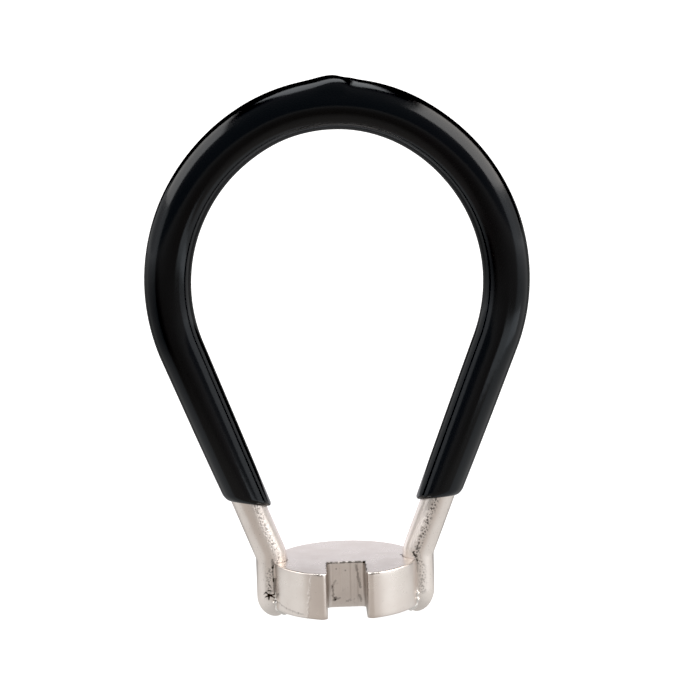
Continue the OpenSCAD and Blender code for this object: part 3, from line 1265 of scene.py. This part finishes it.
    def rings(self) -> np.ndarray:
        """Carries an upright profile with rounded edges along the outline.

        The rounding is slight in the slot, whose upper edge is raised to a ragged burr and whose walls
        are faintly wavy.

        Returns:
            Points as rings by sides by three, from the underside to the top.
        """
        shape = self.outline()
        x, y = shape[:, 0], shape[:, 1]
        past = np.maximum(np.abs(x) - self.slot_half_w, y - self.slot_back_y)
        in_slot = 1 - smooth_step(past, *self.slot_fade)
        run = np.concatenate([[0.0], np.cumsum(np.hypot(np.diff(x), np.diff(y)))])
        edge = self.rim_edge + (self.slot_edge - self.rim_edge) * in_slot
        turn = np.linspace(0, QUARTER_TURN, self.edge_rings)
        wall = np.linspace(0, 1, self.wall_rings)[1:-1]
        rounding = np.sin(turn)
        inset = np.concatenate([1 - rounding, np.zeros(len(wall)), 1 - rounding[::-1]])[:, None] * edge
        lower = edge[None, :] * (1 - np.cos(turn))[:, None]
        upper = self.top_z - lower[::-1]
        middle = edge[None, :] + wall[:, None] * (self.top_z - 2 * edge[None, :])
        height = np.concatenate([lower, middle, upper])
        burr = self.burr * in_slot * np.clip(waves(run, self.burr_lens), 0, 1)
        height[:-1] += burr[None, :] * smooth_step(height[:-1], self.top_z - self.burr_reach, self.top_z)
        wobble = self.wall_wave * in_slot * waves(run, self.wall_lens)
        inset = inset + wobble[None, :]
        return np.stack([x - inset * shape[:, 2], y - inset * shape[:, 3], height], axis=-1)

    def finish(self) -> JawPlate:
        """Returns the plating, fitted to the disc and its slot."""
        return JawPlate(axis_y=self.axis_y, jaw_r=self.jaw_r, top_z=self.top_z,
                        slot_half_w=self.slot_half_w, slot_back_y=self.slot_back_y)

    def build(self) -> bpy.types.Object:
        """Joins the rings and closes them with a flat cap below and above.

        Returns:
            The new piece.
        """
        rings = self.rings()
        count, sides, _ = rings.shape
        inner, triangles = self.cap(rings[-1, :, :2])
        level = np.zeros(len(inner))
        points = np.concatenate([
            rings.reshape(-1, 3),
            np.column_stack([inner, level]),
            np.column_stack([inner, level + self.top_z])])
        ring = np.arange(sides)
        added = np.arange(len(inner)) + count * sides
        lower = np.concatenate([ring, added])
        upper = np.concatenate([ring + (count - 1) * sides, added + len(inner)])
        caps = np.concatenate([lower[triangles[:, ::-1]], upper[triangles]])
        skin = Skin(points, grid_quads(count, sides), caps)
        finish = self.finish().material()
        return add_piece("plated_jaw", skin, finish, "jaw_disc", flat_caps=True)

    def cap(self, ring: np.ndarray) -> tuple[np.ndarray, np.ndarray]:
        """Fills a flat outline with even triangles, over points of a grid that lie well inside it.

        Args:
            ring: The outline's points in the disc's plane, in order.

        Returns:
            The points added inside, and the triangles, which number the outline's points before those.
        """
        reach = np.arange(-self.jaw_r, self.jaw_r, self.cap_step)
        grid = np.stack(np.meshgrid(reach, reach + self.axis_y), axis=-1).reshape(-1, 2)
        x, y = np.abs(grid[:, 0]), grid[:, 1]
        gaps = np.stack([
            self.jaw_r - np.hypot(x, y - self.axis_y),
            np.hypot(x - self.foot_x, y - self.axis_y) - self.seat_r,
            np.maximum(x - self.slot_half_w - self.flare, y - self.slot_back_y)])
        inner = grid[gaps.min(axis=0) > self.cap_margin]
        points = np.concatenate([ring, inner]) / MM
        outline = list(range(len(ring)))
        filled = delaunay_2d_cdt(points.tolist(), [], [outline], INSIDE_ONLY, MERGE_GAP)
        triangles, origins = np.array(filled[2]), np.array(filled[3])[:, 0]
        return inner, origins[triangles]


@dataclass
class WeldBead:
    """One weld bead: it runs under the disc round the foot, and climbs the crevice at both ends."""

    side: Side
    line: LoopLine
    left_lumps: Rows = ((0.8 * MM, 0.42 * MM),)
    right_lumps: Rows = ((1.25 * MM, 0.3 * MM), (0.6 * MM, 0.26 * MM))
    lump_len: float = 0.24 * MM
    bead_r: float = 0.65 * MM
    end_r: float = 0.07 * MM
    thin_span: Span = (0.35, 0.75)
    end_power: int = 8
    end_share: float = 1e-4
    half_angle: float = 80.0
    turn_rate: float = 1.35
    stand_off: float = 0.12 * MM
    front_climb: float = 2.0 * MM
    rear_climb: float = 0.9 * MM
    climb_start: float = 0.5
    sink: float = 0.05 * MM
    unevenness: float = 0.16
    wave_shares: tuple[float, ...] = (0.21, 0.34, 0.55)
    rings: int = 110
    sides: int = 36
    finish: NickelPlate = field(default_factory=lambda: NickelPlate(
        name="weld_metal", tone=(0.84, 0.81, 0.78), stain=(0.62, 0.58, 0.54), roughness=0.2,
        mottle_size=0.8 * MM, grain_size=0.3 * MM, grain_depth=0.03 * MM))

    def radii(self, share: np.ndarray, rise: np.ndarray) -> np.ndarray:
        """Thins the bead towards its ends, makes it uneven and adds the lumps on its front end.

        Args:
            share: Where each ring lies, from -1 at the front end to 1 at the rear end.
            rise: Each ring's height.

        Returns:
            Each ring's radius.
        """
        thin = smooth_step(np.abs(share), *self.thin_span)
        radius = self.bead_r + (self.end_r - self.bead_r) * thin
        radius = radius * np.sqrt(np.clip(1 - share ** self.end_power, self.end_share, 1))
        radius = radius * (1 + self.unevenness * waves(share, self.wave_shares, phase=self.side.value))
        for height, growth in self.left_lumps if self.side is Side.LEFT else self.right_lumps:
            radius = radius + growth * np.exp(-((rise - height) / self.lump_len) ** 2) * (share < 0)
        return radius

    def build(self) -> bpy.types.Object:
        """Sweeps a lumpy circle round the foot's inner half and up the crevices.

        The share along the bead runs from the front to the rear. Its middle lies under the disc, and its
        ends turn upwards, where the bead grows thin.

        Returns:
            The new piece.
        """
        sign = self.side.value
        share = np.linspace(-1, 1, self.rings)
        turn = np.clip(share * self.turn_rate, -1, 1) * QUARTER_TURN
        theta = math.radians(self.half_angle) * np.sin(turn)
        climb = np.where(share < 0, self.front_climb, self.rear_climb)
        rise = smooth_step(np.abs(share), self.climb_start, 1.0) * climb - self.sink
        middle_r = self.line.wire_r + self.stand_off
        middle = np.stack([
            sign * (self.line.foot_x - middle_r * np.cos(theta)),
            self.line.plane_y + middle_r * np.sin(theta),
            rise], axis=-1)
        along = unit(np.gradient(middle, axis=0))
        inward = np.stack([-sign * np.cos(theta), np.sin(theta), np.zeros_like(theta)], axis=-1)
        inward = unit(inward - along * np.einsum("ij,ij->i", inward, along)[:, None])
        radius = np.tile(self.radii(share, rise)[:, None], self.sides)
        skin = Skin.capped(sweep(middle, radius, inward, np.cross(along, inward)))
        word = self.side.name.lower()
        return add_piece(f"{word}_bead", skin, self.finish.material(), f"{word}_weld")


# The studio


def heading(azimuth: float, elevation: float) -> Vector:
    """Returns the way out from the part at an azimuth, which is zero at the front, and an elevation."""
    turn, rise = math.radians(azimuth), math.radians(elevation)
    return Vector((math.sin(turn) * math.cos(rise), -math.cos(turn) * math.cos(rise), math.sin(rise)))


def facing(way: Vector, spin: float) -> Quaternion:
    """Returns the turn of a light or camera that looks back along a way out, spun about it."""
    return way.to_track_quat("Z", "Y") @ Quaternion((0, 0, 1), math.radians(spin))


@dataclass(frozen=True)
class Softbox:
    """A soft, evenly lit panel that faces the part."""

    name: str
    azimuth: float
    elevation: float
    width: float
    height: float
    radiance: float
    spin: float = 0.0
    distance: float = 1.0
    aim_z: float = 28 * MM
    aim_ahead: float = 0.0
    tint: Colour = (1.0, 1.0, 1.0)

    def build(self, axis_y: float) -> None:
        """Adds the panel as an area light, with power for its radiance.

        Args:
            axis_y: Where the part's middle stands along Y.
        """
        target = Vector((0, axis_y - self.aim_ahead, self.aim_z))
        way = heading(self.azimuth, self.elevation)
        light = bpy.data.lights.new(self.name, "AREA")
        light.shape = "RECTANGLE"
        light.size, light.size_y = self.width, self.height
        light.energy = self.radiance * math.pi * self.width * self.height
        light.color = self.tint
        panel = put(self.name, light)
        panel.location = target + way * self.distance
        panel.rotation_mode = "QUATERNION"
        panel.rotation_quaternion = facing(way, self.spin)
        panel.visible_camera = False


@dataclass
class Studio:
    """The pale floor, the soft light round it and the camera."""

    floor_z: float
    axis_y: float
    floor_half: float = 4.0
    front_glow: float = 0.46
    back_glow: float = 0.03
    glow_edge: Span = (-0.2, 0.3)
    black_level: float = 0.0165
    target_z: float = 28 * MM
    azimuth: float = -1.6
    elevation: float = 11.8
    roll: float = 1.6
    distance: float = 600 * MM
    frame_pixels: float = 700.0
    focal_pixels: float = 5542.0
    sensor: float = 36.0
    clip: Span = (0.01, 20.0)
    aim_right: float = 10.8
    aim_up: float = 1.85
    panels: tuple[Softbox, ...] = (
        Softbox("left_panel", -100, 32.7, 0.97, 0.57, 2.3, tint=(0.96, 0.92, 0.88)),
        Softbox("right_panel", 88, 34.8, 1.15, 0.67, 3.1, tint=(0.97, 0.9, 0.84)),
        Softbox("left_skirt", -103, 7, 1.5, 0.32, 0.55),
        Softbox("right_skirt", 88, 7, 1.15, 0.32, 0.66),
        Softbox("top_panel", -175.4, 69.8, 0.8, 0.52, 2.3, spin=18),
        Softbox("right_card", 54, 0, 0.08, 0.014, 0.84, distance=0.07, aim_z=5 * MM,
                tint=(0.97, 1.02, 1.05)),
        Softbox("back_card", 180, 0, 0.04, 0.010, 0.88, distance=0.0137, aim_z=8.5 * MM,
                tint=(0.995, 0.97, 1.007)),
        Softbox("edge_card", 0, 90, 0.015, 0.0055, 3.0, distance=0.006, aim_z=5 * MM, aim_ahead=9.2 * MM),
    )

    def build_floor(self) -> None:
        """Lays the floor as one large flat face."""
        half = self.floor_half
        corners = [(-half, -half), (half, -half), (half, half), (-half, half)]
        mesh = bpy.data.meshes.new("floor")
        mesh.from_pydata([(x, y, self.floor_z) for x, y in corners], [], [(0, 1, 2, 3)])
        mesh.materials.append(FloorPaint().material(self.floor_z, self.axis_y))
        floor = put("floor", mesh)

    def build_world(self) -> None:
        """Fills the room with soft light: white to the camera, else dim in front and dark behind."""
        world = bpy.data.worlds.new("soft_room")
        bpy.context.scene.world = world
        graph = ShaderGraph(world)
        way = graph.node("ShaderNodeTexCoord", output="Generated")
        glow = graph.ramp(graph.parts(way)[1], *self.glow_edge, self.front_glow, self.back_glow)
        eye = graph.node("ShaderNodeLightPath", output="Is Camera Ray")
        graph.node("ShaderNodeOutputWorld", inputs={"Surface": graph.node("ShaderNodeBackground", inputs={
            "Strength": eye + (1 - eye) * glow})})

    def build_camera(self) -> None:
        """Sets the camera at the photograph's angle, aimed a little beside the part to frame it."""
        back = heading(self.azimuth, self.elevation)
        data = bpy.data.cameras.new("camera")
        data.sensor_width = self.sensor
        data.lens = self.focal_pixels * self.sensor / self.frame_pixels
        data.clip_start, data.clip_end = self.clip
        camera = put("camera", data)
        camera.location = Vector((0, self.axis_y, self.target_z)) + back * self.distance
        aside = Quaternion((0, 1, 0), -math.atan(self.aim_right / self.focal_pixels))
        upward = Quaternion((1, 0, 0), math.atan(self.aim_up / self.focal_pixels))
        camera.rotation_mode = "QUATERNION"
        camera.rotation_quaternion = facing(back, -self.roll) @ aside @ upward
        bpy.context.scene.camera = camera

    def build(self) -> None:
        """Builds the floor, the lights and the camera, and sets the picture's deep blacks."""
        self.build_floor()
        self.build_world()
        for panel in self.panels:
            panel.build(self.axis_y)
        self.build_camera()
        view = bpy.context.scene.view_settings
        view.view_transform = "Standard"
        view.use_curve_mapping = True
        view.curve_mapping.black_level = (self.black_level,) * 3
        view.curve_mapping.update()


def mount_place(name: str) -> Vector:
    """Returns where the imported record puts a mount."""
    return next(Vector(mount["pos_m"]) for mount in frame["record"]["mounts"] if mount["name"] == name)


def main() -> None:
    """Builds the studio and every piece."""
    logging.basicConfig(level=logging.INFO, format="%(name)s: %(message)s")
    axis_y = mount_place("hanging_loop").y
    slot_back_y = mount_place("slot_back_wall").y
    disc_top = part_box("jaw_disc")[1].z
    tip_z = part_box("handle_wire")[0].z
    Studio(floor_z=tip_z, axis_y=axis_y).build()
    line = LoopLine(plane_y=axis_y, disc_top=disc_top, tip_z=tip_z)
    HandleWire(line).build()
    VinylGrip(line).build()
    JawDisc(axis_y=axis_y, top_z=disc_top, slot_back_y=slot_back_y, foot_x=line.foot_x).build()
    for side in Side:
        WeldBead(side, line).build()


if __name__ == "__main__":
    main()
